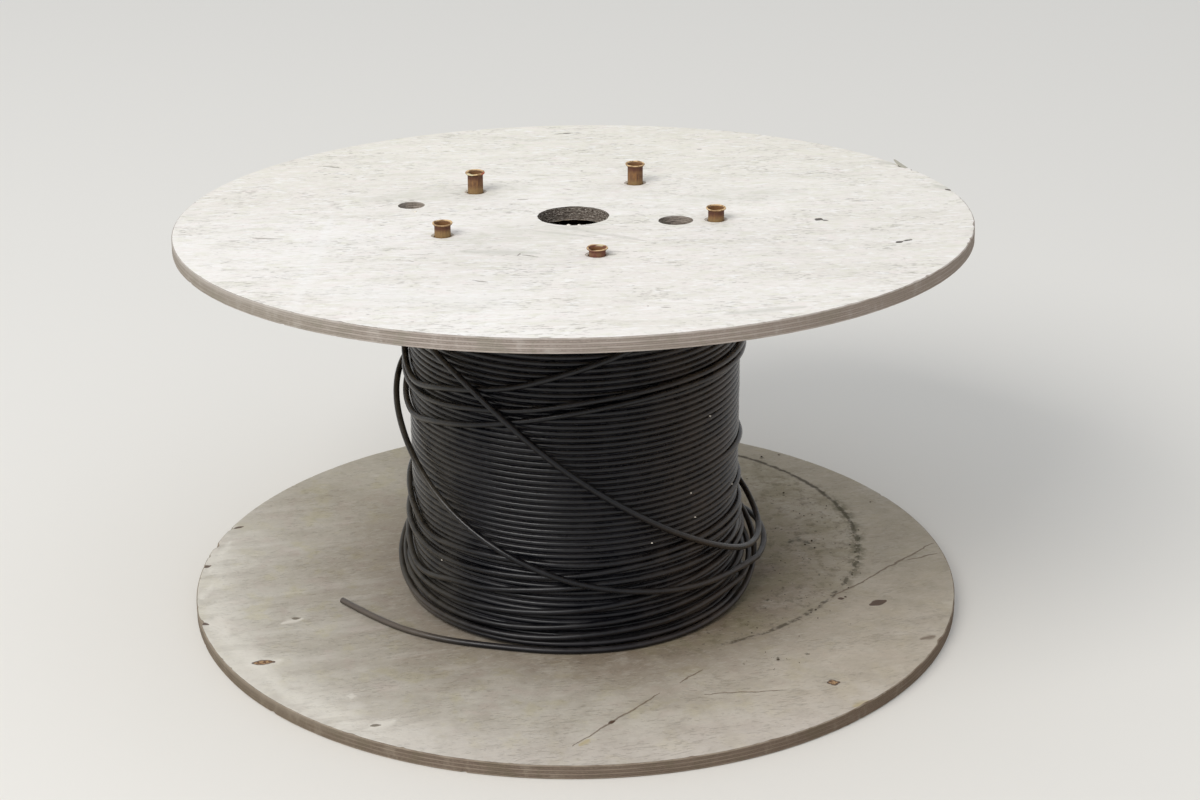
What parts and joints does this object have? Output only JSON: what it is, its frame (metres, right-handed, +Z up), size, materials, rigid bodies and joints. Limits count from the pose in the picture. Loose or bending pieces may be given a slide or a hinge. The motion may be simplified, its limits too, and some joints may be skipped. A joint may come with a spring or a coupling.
{
  "type": "cable drum",
  "caption": "Weathered plywood cable drum standing on its end, black cable wound on it with slack turns, held by flared steel tie tubes.",
  "frame": {"origin": "centre of the lower flange's underside, on the drum's axis", "axes": "+Z up the drum's axis; +X to the right and -Y towards the viewer as in the picture"},
  "size_m": [0.8999, 0.9, 0.4885],
  "materials": {
    "plywood": "weathered grey plywood, rough",
    "board": "plain hardboard",
    "cable": "black sheath, dull with a slight sheen",
    "rusty_steel": "brown rust, matte"
  },
  "bodies": {
    "root": {"flange_bottom": "plywood", "flange_top": "plywood", "barrel": "board", "winding": "cable", "tie_tube_front": "rusty_steel", "tie_tube_right": "rusty_steel", "tie_tube_back_right": "rusty_steel", "tie_tube_back_left": "rusty_steel", "tie_tube_left": "rusty_steel", "cable_cut_end": "cable", "cable_fallen_turns": "cable"}
  },
  "joints": []
}
